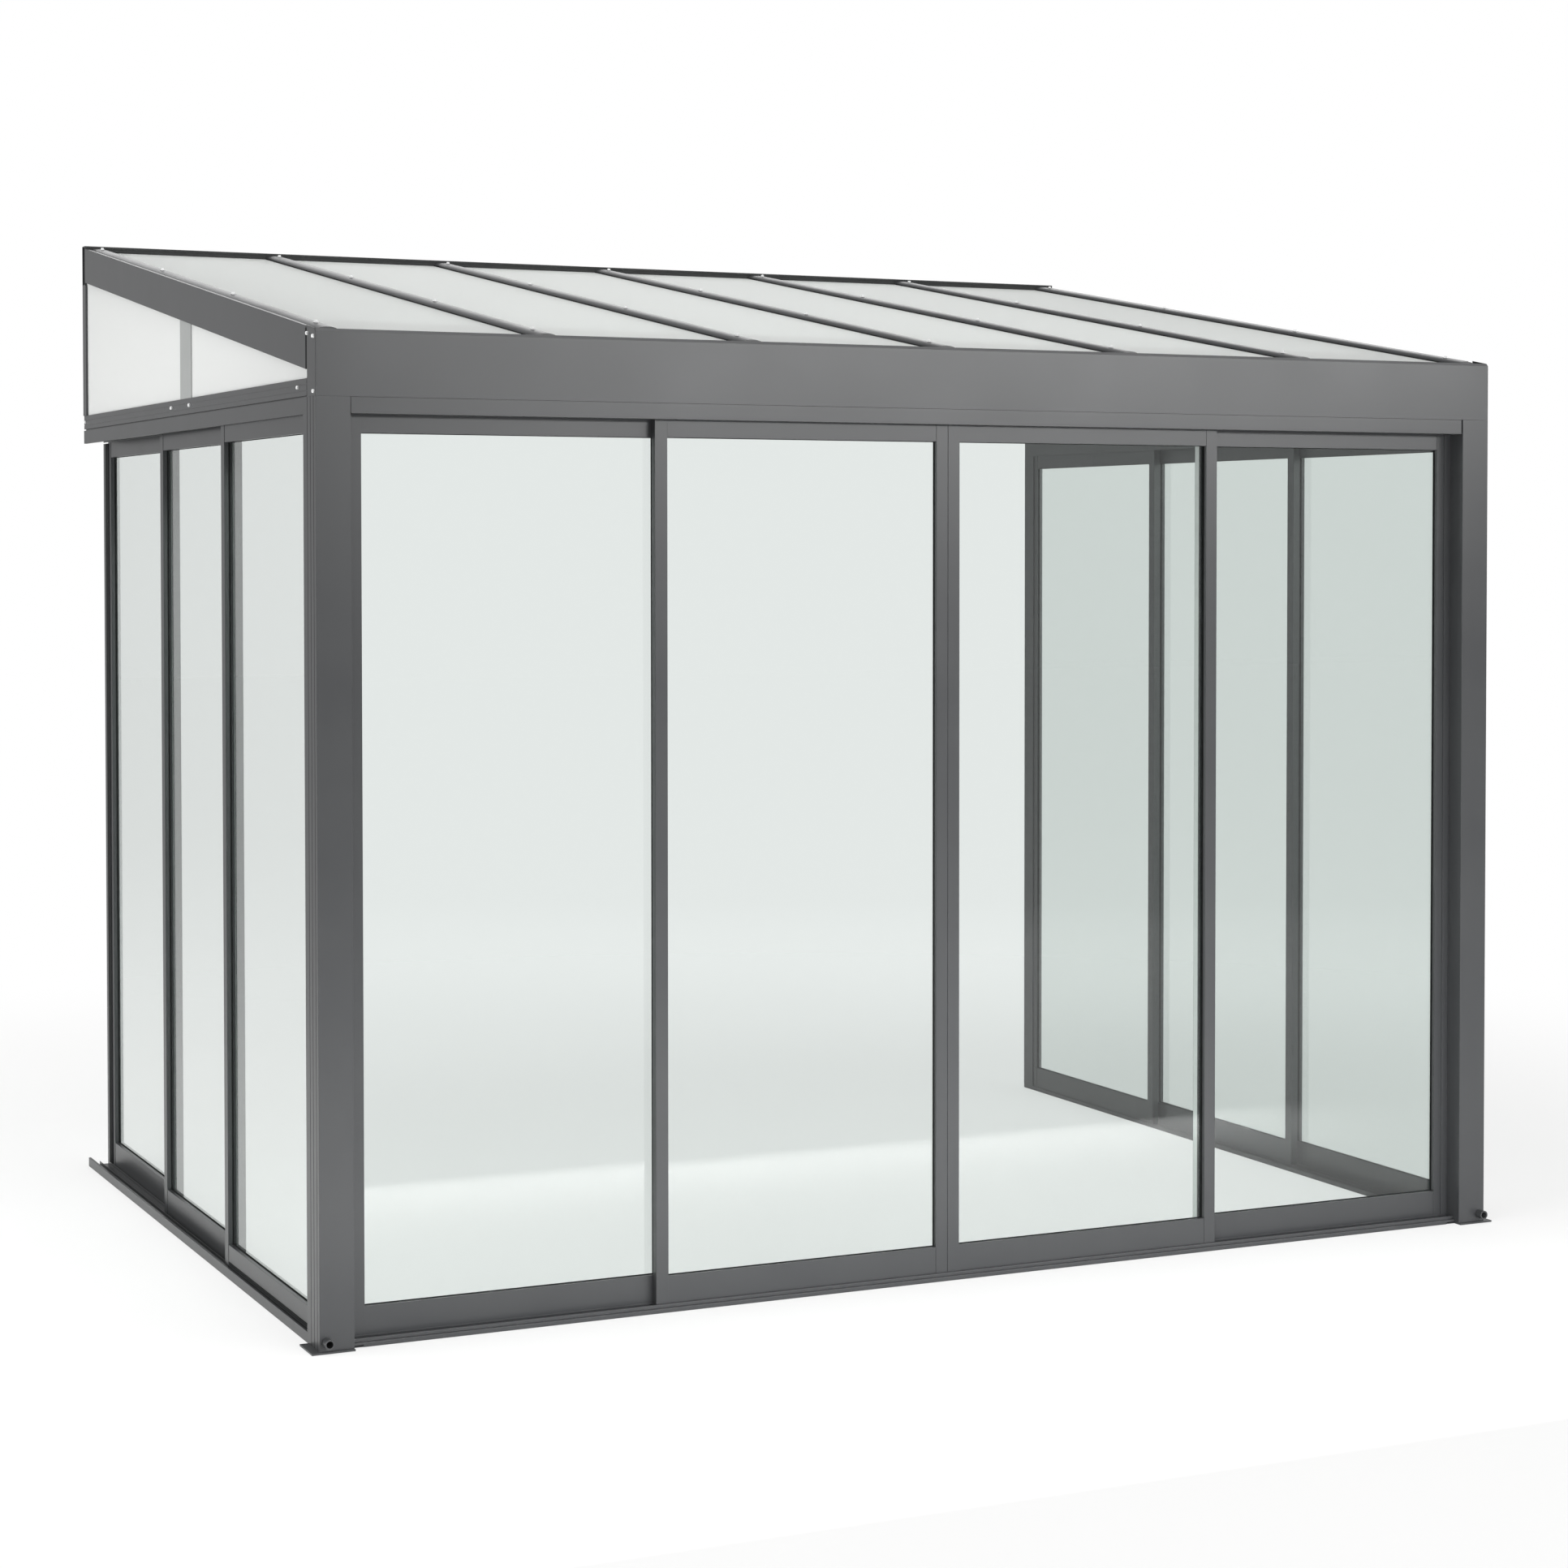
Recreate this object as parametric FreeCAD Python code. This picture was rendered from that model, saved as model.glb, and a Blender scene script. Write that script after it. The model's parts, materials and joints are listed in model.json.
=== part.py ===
import FreeCAD, Part
import math
import os

os.makedirs("parts", exist_ok=True)

# Envelope, in millimetres. Y counts back from the front face while the pieces are
# drawn; save() moves the origin to the middle of the footprint, on the floor.
width = 3660.0
depth = 2735.0
eave_z = 2451.0
roof_slope = 9.05

# Corner posts and their feet
post_w = 92.5
post_d = 105.0
post_wall = 3.0
flute_w = 3.0
flute_deep = 1.2
flute_first = 17.0
flute_pitch = 28.0
flute_count = 3
foot_t = 5.0
foot_out = 23.0
foot_front = 10.0
ear_h = 70.0
ear_w = 56.0
ear_t = 4.0
anchor_r = 5.5
anchor_dx = 46.0
anchor_dy = 54.0
spout_r = 13.0
spout_shoulder = 1.0
spout_wall = 4.0
spout_reach = 28.0
spout_root = 14.0
spout_collar = 2.0
spout_collar_t = 3.0
spout_edge = 19.0
spout_z = 28.0
round_gap = 0.4

# Gutter beam
gutter_h = 172.0
gutter_d = 75.0
gutter_wall = 3.0
gutter_lip = 13.0
gutter_edge = 8.0
trough_floor = 94.0
trough_gap = 13.0
drain_r = 15.0
end_cap_t = 3.0

# Roof
rafter_edge = 46.5
bay_count = 6
rafter_w = 50.0
rafter_h = 70.0
rafter_wall = 2.5
fin_w = 6.0
fin_below_cap = 5.0
cap_w = 62.0
cap_h = 14.0
cap_wall = 2.5
cap_edge = 3.0
sheet_t = 6.0
sheet_skin = 0.8
sheet_cell = 18.0
sheet_edge = 5.0
sheet_front = 46.0
verge_h = 115.0
verge_t = 3.0
verge_in = 2.0
verge_lip = 3.0
verge_edge = 1.5
verge_flange = 11.0
verge_gap_deep = 16.0
wall_plate_d = 38.0
wall_plate_h = 130.0
wall_bolt_r = 5.5

# Sliding tracks, sills and headers
track_w = 26.0
track_fin = 2.0
track_lip = 2.5
side_lip = 10.0
track_plate = 4.0
sill_fin_h = 22.0
sill_lip_h = 29.0
sill_lip_edge = 3.0
side_fin_h = 14.0
sill_front = 20.0
sill_step_h = 13.0
sill_nose = 4.0
sill_edge = 2.0
sill_notch = 30.0
sill_notch_h = 6.0
head_drop = 43.0
head_fin_drop = 39.0
head_front = 4.0
head_end_gap = 2.0
front_lip_y = 33.5
side_in = 4.0
header_lap = 10.0
header_in = 1.0
header_h = 49.0
header_wall = 2.5
header_flute = 2.0
header_flute_deep = 0.8
header_gap_h = 4.0
header_gap_deep = 6.0

# Gable infill
gable_t = 4.0
gable_in = 11.0
gable_joint = 1366.0
gable_slot = 5.0
gable_tuck = 10.0
slot_spare = 2.0
joiner_w = 130.0
joiner_proud = 3.0
joiner_web = 3.0
joiner_back = 2.0
channel_tuck = 8.0

# Door leaves
door_t = 24.0
door_z0 = 12.0
door_head_gap = 20.0
stile_w = 36.0
stile_wall = 2.0
rail_step = 1.0
front_low_rail_h = 83.0
side_low_rail_h = 76.0
top_rail_h = 70.0
groove_w = 8.0
groove_deep = 12.0
glass_t = 4.0
glass_tuck = 10.0
glass_back = 4.5
gasket_tuck = 8.0
gasket_show = 1.5
glide_l = 70.0
glide_in = 80.0
glide_w = 18.0
glide_gap = 0.3
guide_h = 10.0
brush_w = 6.0
brush_t = 3.4
meet_gap = 0.5
front_overlap = 44.0
side_overlap = 46.0
jamb_l = 22.0
jamb_tuck = 11.0
jamb_stop = 2.0
wall_jamb_l = 67.0
jamb_bolt_r = 4.5
jamb_bolt_low = 600.0
jamb_bolt_pitch = 1200.0

# Screws
screw_r = 5.0
screw_h = 5.0
washer_r = 7.0
washer_t = 1.2
roof_screw_first = 153.0
roof_screw_end = 99.0
roof_screw_count = 4
header_screw_z = 28.0
header_screw_front = 67.0
header_screw_mid = 108.0
header_screw_back = 20.0
cap_screw_in = 11.0
cap_screw_low = 12.0
cap_screw_high = 20.0

# Derived positions
half_w = width / 2
y_mid = (depth - spout_reach) / 2
gutter_top = eave_z + gutter_h
rise = math.tan(math.radians(roof_slope))
post_in = half_w - post_w
side_out = half_w - side_in
track_pitch = track_w + track_fin
head_z = eave_z - head_drop
header_top = eave_z + header_h
gable_x = half_w - gable_in
verge_out = half_w - verge_in
front_half = post_in - jamb_l + jamb_tuck
front_door_w = (front_half - meet_gap + front_overlap) / 2
side_start = post_d + jamb_l - jamb_tuck
side_run = depth - wall_jamb_l + jamb_tuck - side_start
side_door_w = (side_run + 2 * side_overlap) / 3
door_z1 = eave_z - door_head_gap
front_sight_low = door_z0 + front_low_rail_h
side_sight_low = door_z0 + side_low_rail_h
sight_high = door_z1 - top_rail_h
rafter_pitch = (width - 2 * rafter_edge) / bay_count
roof_end = depth - wall_plate_d
sheet_top = -cap_h
sheet_low = sheet_top - sheet_t
header_mid = (post_d + depth) / 2
corner_back = post_d - header_lap


def vec(x, y, z):
    return FreeCAD.Vector(x, y, z)


def face_of(points):
    return Part.Face(Part.makePolygon(points + [points[0]]))


def along_x(outline, x0, x1):
    return face_of([vec(x0, y, z) for y, z in outline]).extrude(vec(x1 - x0, 0, 0))


def along_y(outline, y0, y1):
    return face_of([vec(x, y0, z) for x, z in outline]).extrude(vec(0, y1 - y0, 0))


def along_z(outline, z0, z1):
    return face_of([vec(x, y, z0) for x, y in outline]).extrude(vec(0, 0, z1 - z0))


def along_roof(outline, y0, y1):
    start = cap_line(y0)
    profile = face_of([vec(x, y0, start + z) for x, z in outline])
    return profile.extrude(vec(0, y1 - y0, (y1 - y0) * rise))


def block(x0, x1, y0, y1, z0, z1):
    return Part.makeBox(x1 - x0, y1 - y0, z1 - z0, vec(x0, y0, z0))


def rect(a0, a1, b0, b1):
    return [(a0, b0), (a1, b0), (a1, b1), (a0, b1)]


def rod(radius, length, base, direction):
    return Part.makeCylinder(radius, length, base, direction)


def mirrored(shape):
    return shape.mirror(vec(0, 0, 0), vec(1, 0, 0))


def cap_line(y):
    # Height of the cap bars' crown over the point y back from the front face
    return gutter_top + y * rise


def save(node, *solids):
    piece = solids[0] if len(solids) == 1 else Part.makeCompound(list(solids))
    piece.translate(vec(0, -y_mid, 0))
    piece.exportStep("parts/" + node + ".step")


def save_pair(name, *solids):
    right = [mirrored(solid) for solid in solids]
    save("left_" + name, *solids)
    save("right_" + name, *right)


def save_both(name, solid):
    save(name, solid, mirrored(solid))


# Corner posts: hollow, with shallow flutes down the outer face
def post():
    left = -half_w
    right = -post_in
    w = post_wall
    shape = block(left, right, 0, post_d, foot_t, eave_z)
    shape = shape.cut(block(left + w, right - w, w, post_d - w, 0, eave_z + 1))
    for index in range(flute_count):
        y = flute_first + index * flute_pitch
        shape = shape.cut(block(left - 1, left + flute_deep, y, y + flute_w, 0, eave_z + 1))
    hole_r = spout_r - spout_shoulder + round_gap
    hole = rod(hole_r, w + 2, vec(left + spout_edge, -1, spout_z), vec(0, 1, 0))
    return shape.cut(hole)


# Foot: base plate with two ears that stand inside the post
def foot():
    left = -half_w
    plate = block(left - foot_out, -post_in, -foot_front, post_d, 0, foot_t)
    mid_x = -half_w + post_w / 2
    mid_y = post_d / 2
    for dx in (-anchor_dx / 2, anchor_dx / 2):
        for dy in (-anchor_dy / 2, anchor_dy / 2):
            plate = plate.cut(rod(anchor_r, foot_t + 2, vec(mid_x + dx, mid_y + dy, -1), vec(0, 0, 1)))
    inner = -post_in - post_wall
    back = post_d - post_wall
    side_ear = block(inner - ear_t, inner, mid_y - ear_w / 2, mid_y + ear_w / 2, foot_t, foot_t + ear_h)
    back_ear = block(mid_x - ear_w / 2, mid_x + ear_w / 2, back - ear_t, back, foot_t, foot_t + ear_h)
    return plate.fuse([side_ear, back_ear]).removeSplitter()


# Drain spout: a short tube that seats on the post's front face, held by a ring behind
def spout():
    x = -half_w + spout_edge
    inward = vec(0, 1, 0)
    tube = rod(spout_r, spout_reach, vec(x, -spout_reach, spout_z), inward)
    neck = rod(spout_r - spout_shoulder, spout_root, vec(x, 0, spout_z), inward)
    ring = rod(spout_r + spout_collar, spout_collar_t, vec(x, post_wall, spout_z), inward)
    bore_l = spout_reach + spout_root + 2
    bore = rod(spout_r - spout_wall, bore_l, vec(x, -spout_reach - 1, spout_z), inward)
    return tube.fuse([neck, ring]).cut(bore)


# Gutter: a box beam with an open trough on top and a drain over each post
def gutter():
    end = half_w - end_cap_t
    floor = eave_z + trough_floor
    back = cap_line(gutter_d) + sheet_low - trough_gap
    w = gutter_wall
    inside = gutter_d - w
    edge = gutter_edge
    bend = edge + w * math.tan(math.radians(22.5))
    outline = [(0, eave_z), (gutter_d, eave_z), (gutter_d, back), (inside, back), (inside, floor)]
    outline += [(w, floor), (w, gutter_top - bend), (bend, gutter_top - w), (gutter_lip, gutter_top - w)]
    outline += [(gutter_lip, gutter_top), (edge, gutter_top), (0, gutter_top - edge)]
    beam = along_x(outline, -end, end)
    beam = beam.cut(along_x(rect(w, inside, eave_z + w, floor - w), -end - 1, end + 1))
    for x in (-half_w + post_w / 2, half_w - post_w / 2):
        beam = beam.cut(rod(drain_r, trough_floor + 2, vec(x, gutter_d / 2, eave_z - 1), vec(0, 0, 1)))
    return beam


def gutter_cap():
    edge = gutter_edge
    outline = [(0, eave_z), (gutter_d, eave_z), (gutter_d, cap_line(gutter_d))]
    outline += [(edge, gutter_top), (0, gutter_top - edge)]
    return along_x(outline, -half_w, -half_w + end_cap_t)


# Roof members are drawn in the upright X-Z plane, with Z from the cap bars' crown,
# and run along the slope with upright ends.
def rafter(x):
    low = sheet_low - rafter_h
    half = rafter_w / 2
    fin = fin_w / 2
    outline = [(x - half, low), (x + half, low), (x + half, sheet_low), (x + fin, sheet_low)]
    outline += [(x + fin, -fin_below_cap), (x - fin, -fin_below_cap)]
    outline += [(x - fin, sheet_low), (x - half, sheet_low)]
    w = rafter_wall
    hollow = rect(x - half + w, x + half - w, low + w, sheet_low - w)
    return along_roof(outline, gutter_d, roof_end).cut(along_roof(hollow, gutter_d - 1, roof_end + 1))


def cap_bar(x):
    half = cap_w / 2
    w = cap_wall
    bend = cap_edge + w * math.tan(math.radians(22.5))
    outer = [(-half, -cap_h), (-half, -cap_edge), (-half + cap_edge, 0)]
    inner = [(-half + w, -cap_h), (-half + w, -bend), (-half + bend, -w)]
    outline = [(x + u, z) for u, z in outer]
    outline += [(x - u, z) for u, z in reversed(outer)]
    outline += [(x - u, z) for u, z in inner]
    outline += [(x + u, z) for u, z in reversed(inner)]
    return along_roof(outline, sheet_front, roof_end)


def end_rafter(x):
    out = -verge_out
    inn = x + rafter_w / 2
    fin = fin_w / 2
    step = x - sheet_edge
    low = -verge_h
    slot_out = -gable_x - gable_slot / 2
    slot_in = -gable_x + gable_slot / 2
    slot_top = low + gable_tuck + slot_spare
    w = verge_t
    flange = out + verge_flange
    top = -verge_lip
    outline = [(out, low), (slot_out, low), (slot_out, slot_top), (slot_in, slot_top), (slot_in, low)]
    outline += [(inn, low), (inn, sheet_low), (x + fin, sheet_low), (x + fin, -fin_below_cap)]
    outline += [(x - fin, -fin_below_cap), (x - fin, sheet_low), (step, sheet_low), (step, sheet_top)]
    outline += [(out + w, sheet_top), (out + w, top - w), (flange, top - w), (flange, top)]
    outline += [(out + verge_edge, top), (out, top - verge_edge)]
    shape = along_roof(outline, gutter_d, roof_end)
    for hollow in (
        rect(out + w, inn - w, slot_top + w, sheet_low - w),
        rect(slot_in + w, inn - w, low + w, slot_top + w),
    ):
        shape = shape.cut(along_roof(hollow, corner_back + w, roof_end + 1))
    seam = block(out - 1, out + verge_gap_deep, gutter_d - 1, corner_back, eave_z, gutter_top + gutter_h)
    return shape.cut(seam)


# Twin-wall sheet with open cells along the slope
def roof_sheet(x0, x1):
    start = x0 + sheet_edge
    end = x1 - sheet_edge
    sheet = along_roof(rect(start, end, sheet_low, sheet_top), sheet_front, roof_end)
    cells = int((end - start - sheet_skin) // sheet_cell)
    pitch = (end - start - sheet_skin) / cells
    voids = []
    for index in range(cells):
        left = start + sheet_skin + index * pitch
        hole = rect(left, left + pitch - sheet_skin, sheet_low + sheet_skin, sheet_top - sheet_skin)
        voids.append(along_roof(hole, sheet_front - 1, roof_end + 1))
    return sheet.cut(voids)


def wall_plate():
    top = cap_line(depth)
    low = top - wall_plate_h
    w = gutter_wall
    beam = block(-verge_out, verge_out, roof_end, depth, low, top)
    beam = beam.cut(block(-verge_out - 1, verge_out + 1, roof_end + w, depth - w, low + w, top - w))
    for index in range(bay_count):
        x = (index - (bay_count - 1) / 2) * rafter_pitch
        place = vec(x, roof_end - 1, (top + low) / 2)
        beam = beam.cut(rod(wall_bolt_r, wall_plate_d + 2, place, vec(0, 1, 0)))
    return beam


# Track profile across its width: channels of track_w parted by fins, lips outside.
# The list holds each fin as (start, end) from the outer edge of the first lip.
def track_fins(tracks, lip):
    fins = [(0.0, lip)]
    for index in range(1, tracks):
        start = lip + index * track_pitch - track_fin
        fins.append((start, start + track_fin))
    last = lip + tracks * track_pitch - track_fin
    fins.append((last, last + track_lip))
    return fins


side_fins = track_fins(3, side_lip)
front_fins = track_fins(2, track_lip)
side_w = side_fins[-1][1]
front_w = front_fins[-1][1]
front_back = front_lip_y + front_w


def channel_centre(origin, fins, index):
    return origin + fins[index][1] + track_w / 2


def side_sill():
    x = -side_out
    w = track_lip
    edge = sill_lip_edge
    shape = block(x, x + side_w, post_d, depth, 0, track_plate)
    lip = [(x, 0), (x + side_lip, 0), (x + side_lip, sill_lip_h - edge)]
    lip += [(x + side_lip - edge, sill_lip_h), (x, sill_lip_h)]
    ribs = [along_y(lip, post_d, depth)]
    for start, end in side_fins[1:]:
        ribs.append(block(x + start, x + end, post_d, depth, track_plate, side_fin_h))
    shape = shape.fuse(ribs).removeSplitter()
    hollow = rect(x + w, x + side_lip - w, w, sill_lip_h - edge - w)
    return shape.cut(along_y(hollow, post_d - 1, depth + 1))


def front_sill():
    end = post_in
    edge = sill_edge
    nose = front_lip_y - sill_nose
    rail = front_lip_y + track_lip
    outline = [(sill_front, 0), (front_back, 0), (front_back, track_plate), (rail, track_plate)]
    outline += [(rail, sill_fin_h), (nose + edge, sill_fin_h), (nose, sill_fin_h - edge)]
    outline += [(nose, sill_step_h), (sill_front + edge, sill_step_h), (sill_front, sill_step_h - edge)]
    shape = along_x(outline, -end, end)
    w = track_lip
    hollow = rect(sill_front + w, front_lip_y - w, w, sill_step_h - w)
    shape = shape.cut(along_x(hollow, -end - 1, end + 1))
    ribs = []
    for start, stop in front_fins[1:]:
        ribs.append(block(-end, end, front_lip_y + start, front_lip_y + stop, track_plate, sill_fin_h))
    shape = shape.fuse(ribs).removeSplitter()
    for side in (-1, 1):
        x0 = min(side * end, side * (end - sill_notch))
        shape = shape.cut(block(x0, x0 + sill_notch, sill_front - 1, sill_front + w, -1, sill_notch_h))
    return shape


def side_track():
    x = -side_out
    shape = block(x, x + side_w, post_d, depth, eave_z - track_plate, eave_z)
    ribs = []
    for index, (start, end) in enumerate(side_fins):
        inside = 0 < index < len(side_fins) - 1
        low = eave_z - (head_fin_drop if inside else head_drop)
        ribs.append(block(x + start, x + end, post_d, depth, low, eave_z - track_plate))
    shape = shape.fuse(ribs).removeSplitter()
    w = track_lip
    hollow = rect(x + w, x + side_lip - w, head_z + w, eave_z - track_plate)
    return shape.cut(along_y(hollow, post_d - 1, depth + 1))


def front_track():
    end = post_in - head_end_gap
    y = front_lip_y
    shape = block(-end, end, head_front, front_back, eave_z - track_plate, eave_z)
    nose = block(-end, end, head_front, y + track_lip, head_z, eave_z - track_plate)
    w = track_lip
    nose = nose.cut(block(-end - 1, end + 1, head_front + w, y, head_z + w, eave_z - track_plate - w))
    fin, lip = front_fins[1:]
    ribs = [nose]
    ribs.append(block(-end, end, y + fin[0], y + fin[1], eave_z - head_fin_drop, eave_z - track_plate))
    ribs.append(block(-end, end, y + lip[0], y + lip[1], head_z, eave_z - track_plate))
    return shape.fuse(ribs).removeSplitter()


# Header beam over each side, with a slot in its top for the gable sheet
def side_header():
    out = -side_out + header_in
    inn = -side_out + side_w
    slot_out = -gable_x - gable_slot / 2
    slot_in = -gable_x + gable_slot / 2
    slot_low = header_top - gable_tuck
    w = header_wall
    outline = [(out, eave_z), (inn, eave_z), (inn, header_top), (slot_in, header_top)]
    outline += [(slot_in, slot_low), (slot_out, slot_low), (slot_out, header_top), (out, header_top)]
    shape = along_y(outline, corner_back, depth)
    skin = out + header_gap_deep
    hollow = rect(skin + w, inn - w, eave_z + w, slot_low - w)
    shape = shape.cut(along_y(hollow, corner_back - 1, depth + 1))
    shape = shape.cut(block(out - 1, skin, corner_back - 1, depth + 1, eave_z - 1, eave_z + header_gap_h))
    for third in (1, 2):
        z = eave_z + third * header_h / 3
        deep = out + header_flute_deep
        shape = shape.cut(block(out - 1, deep, corner_back - 1, depth + 1, z, z + header_flute))
    return shape


# Gable: two sheets, a joining strip between them and a channel at the wall
def under_verge(y):
    return cap_line(y) - verge_h


def gable_sheet(y0, y1):
    low = header_top - gable_tuck
    outline = [(y0, low), (y1, low)]
    outline += [(y1, under_verge(y1) + gable_tuck), (y0, under_verge(y0) + gable_tuck)]
    return along_x(outline, -gable_x - gable_t / 2, -gable_x + gable_t / 2)


def gable_sheets():
    half = joiner_web / 2
    front = gable_sheet(corner_back, gable_joint - half)
    return [front, gable_sheet(gable_joint + half, roof_end)]


def gable_joiner():
    top = under_verge(depth)
    y0 = gable_joint - joiner_w / 2
    y1 = gable_joint + joiner_w / 2
    skin = -gable_x - gable_t / 2
    inner = -gable_x + gable_t / 2
    face = skin - joiner_proud
    wall = joiner_back
    outer = block(face, skin, y0, y1, header_top, top)
    web = block(skin, inner, gable_joint - joiner_web / 2, gable_joint + joiner_web / 2, header_top, top)
    back = block(inner, inner + wall, y0, y1, header_top, top)
    shape = outer.fuse([web, back]).removeSplitter()
    reach = y1 + 1
    near = y0 - 1
    over = [(near, under_verge(near)), (reach, under_verge(reach)), (reach, top + 2), (near, top + 2)]
    return shape.cut(along_x(over, -half_w, 0))


def gable_channel():
    wall = joiner_back
    slot = gable_slot / 2
    out = -verge_out
    inn = -gable_x + slot + wall
    y0 = roof_end - channel_tuck
    top = min(cap_line(depth) - wall_plate_h, under_verge(y0))
    shape = along_z(rect(out, inn, y0, depth), header_top, top)
    groove = rect(-gable_x - slot, -gable_x + slot, y0 - 1, roof_end + slot_spare)
    return shape.cut(along_z(groove, header_top - 1, top + 1))


# Jambs: channels that take the edge of the closing door
def wall_jamb():
    fin = side_fins[2]
    lip = side_fins[3]
    x0 = -side_out + fin[0]
    x1 = -side_out + lip[1]
    y0 = depth - wall_jamb_l
    stop = y0 + jamb_tuck + jamb_stop
    shape = block(x0, x1, y0, depth, side_fin_h, head_z)
    shape = shape.cut(block(x0 + track_fin, x1 - track_lip, y0 - 1, stop, 0, eave_z))
    w = track_lip
    shape = shape.cut(block(x0 + w, x1 - w, stop + w, depth - w, 0, eave_z))
    mid = -side_out + (fin[0] + lip[1]) / 2
    for z in (jamb_bolt_low, jamb_bolt_low + jamb_bolt_pitch):
        shape = shape.cut(rod(jamb_bolt_r, wall_jamb_l + 2, vec(mid, y0 - 1, z), vec(0, 1, 0)))
    return shape


def post_side_jamb():
    lip, fin = side_fins[0], side_fins[1]
    x0 = -side_out + lip[0]
    x1 = -side_out + fin[1]
    shape = block(x0, x1, post_d, post_d + jamb_l, sill_lip_h, head_z)
    groove = post_d + jamb_l - jamb_tuck - jamb_stop
    return shape.cut(block(x0 + side_lip, x1 - track_fin, groove, post_d + jamb_l + 1, 0, eave_z))


def post_front_jamb():
    fin, lip = front_fins[1], front_fins[2]
    y0 = front_lip_y + fin[0]
    y1 = front_lip_y + lip[1]
    shape = block(-post_in, -post_in + jamb_l, y0, y1, sill_fin_h, head_z)
    groove = -post_in + jamb_l - jamb_tuck - jamb_stop
    return shape.cut(block(groove, -post_in + jamb_l + 1, y0 + track_fin, y1 - track_lip, 0, eave_z))


# Door leaf, drawn with its width along X from 0 and its thickness about Y = 0.
# The pane is the Y of the glass's middle, set towards the inside of the room, and
# sight_low is the top of the low rail.
def leaf_frame(door_w, pane, sight_low):
    half = door_t / 2
    near = pane - groove_w / 2
    far = pane + groove_w / 2
    deep = stile_w - groove_deep
    w = stile_wall
    outline = [(0, -half), (stile_w, -half), (stile_w, near), (deep, near)]
    outline += [(deep, far), (stile_w, far), (stile_w, half), (0, half)]
    stile = along_z(outline, door_z0, door_z1)
    stile = stile.cut(block(w, deep - w, -half + w, half - w, door_z0 - 1, door_z1 + 1))
    other = mirrored(stile)
    other.translate(vec(door_w, 0, 0))
    thin = half - rail_step
    rails = []
    for edge, sight, inward in ((door_z0, sight_low, 1), (door_z1, sight_high, -1)):
        floor = sight - inward * groove_deep
        outline = [(-thin, edge), (thin, edge), (thin, sight), (far, sight)]
        outline += [(far, floor), (near, floor), (near, sight), (-thin, sight)]
        rail = along_x(outline, stile_w, door_w - stile_w)
        low = min(edge + inward * w, floor - inward * w)
        high = max(edge + inward * w, floor - inward * w)
        rails.append(rail.cut(block(stile_w - 1, door_w, -thin + w, thin - w, low, high)))
    return [stile, other] + rails


def leaf_glass(door_w, pane, sight_low):
    low = sight_low - glass_tuck
    high = sight_high + glass_tuck
    edge = stile_w - glass_tuck
    return [block(edge, door_w - edge, pane - glass_t / 2, pane + glass_t / 2, low, high)]


def leaf_seals(door_w, pane, sight_low, brush_at, brush_side):
    inner = glass_t / 2
    outer = groove_w / 2
    tuck = stile_w - gasket_tuck
    show = stile_w + gasket_show
    strips = []
    for face in (-1, 1):
        y0 = pane + min(face * inner, face * outer)
        y1 = y0 + outer - inner
        low = sight_low - gasket_tuck
        high = sight_high + gasket_tuck
        strips.append(block(tuck, show, y0, y1, low, high))
        strips.append(block(door_w - show, door_w - tuck, y0, y1, low, high))
        strips.append(block(show, door_w - show, y0, y1, low, sight_low + gasket_show))
        strips.append(block(show, door_w - show, y0, y1, sight_high - gasket_show, high))
    if brush_side:
        half = door_t / 2
        y0 = half if brush_side > 0 else -half - brush_t
        x0 = brush_at - brush_w / 2
        low = sill_lip_h + glide_gap
        strips.append(block(x0, x0 + brush_w, y0, y0 + brush_t, low, head_z - glide_gap))
    return strips


def leaf_glides(door_w):
    pads = []
    wide = track_w / 2 - glide_gap
    for x in (glide_in, door_w - glide_in - glide_l):
        pads.append(block(x, x + glide_l, -glide_w / 2, glide_w / 2, track_plate + glide_gap, door_z0))
        pads.append(block(x, x + glide_l, -wide, wide, door_z1, door_z1 + guide_h))
    return pads


def leaf(door_w, inward, sight_low, brush_at=0.0, brush_side=0):
    pane = inward * glass_back
    return {
        "frame": leaf_frame(door_w, pane, sight_low),
        "glass": leaf_glass(door_w, pane, sight_low),
        "seals": leaf_seals(door_w, pane, sight_low, brush_at, brush_side),
        "glides": leaf_glides(door_w),
    }


def leaf_moved(pieces, quarter, place):
    moved = {}
    for name, solids in pieces.items():
        moved[name] = [solid.copy() for solid in solids]
        for solid in moved[name]:
            solid.rotate(vec(0, 0, 0), vec(0, 0, 1), 90 * quarter)
            solid.translate(place)
    return moved


def leaf_mirrored(pieces):
    return {name: [mirrored(solid) for solid in solids] for name, solids in pieces.items()}


def save_leaf(name, pieces):
    save(name + "_frame", *pieces["frame"])
    save(name + "_glass", *pieces["glass"])
    save(name + "_fittings", *pieces["glides"], *pieces["seals"])


# Screw head with its washer
def screw(place, direction):
    washer = rod(washer_r, washer_t, place, direction)
    head = rod(screw_r, washer_t + screw_h, place, direction)
    return washer.fuse(head)


def rafter_xs():
    return [(index - bay_count / 2) * rafter_pitch for index in range(bay_count + 1)]


def roof_screws():
    normal = vec(0, -math.sin(math.radians(roof_slope)), math.cos(math.radians(roof_slope)))
    step = (depth - roof_screw_end - roof_screw_first) / (roof_screw_count - 1)
    heads = []
    for x in rafter_xs():
        for index in range(roof_screw_count):
            y = roof_screw_first + index * step
            heads.append(screw(vec(x, y, cap_line(y)), normal))
    return heads


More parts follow.
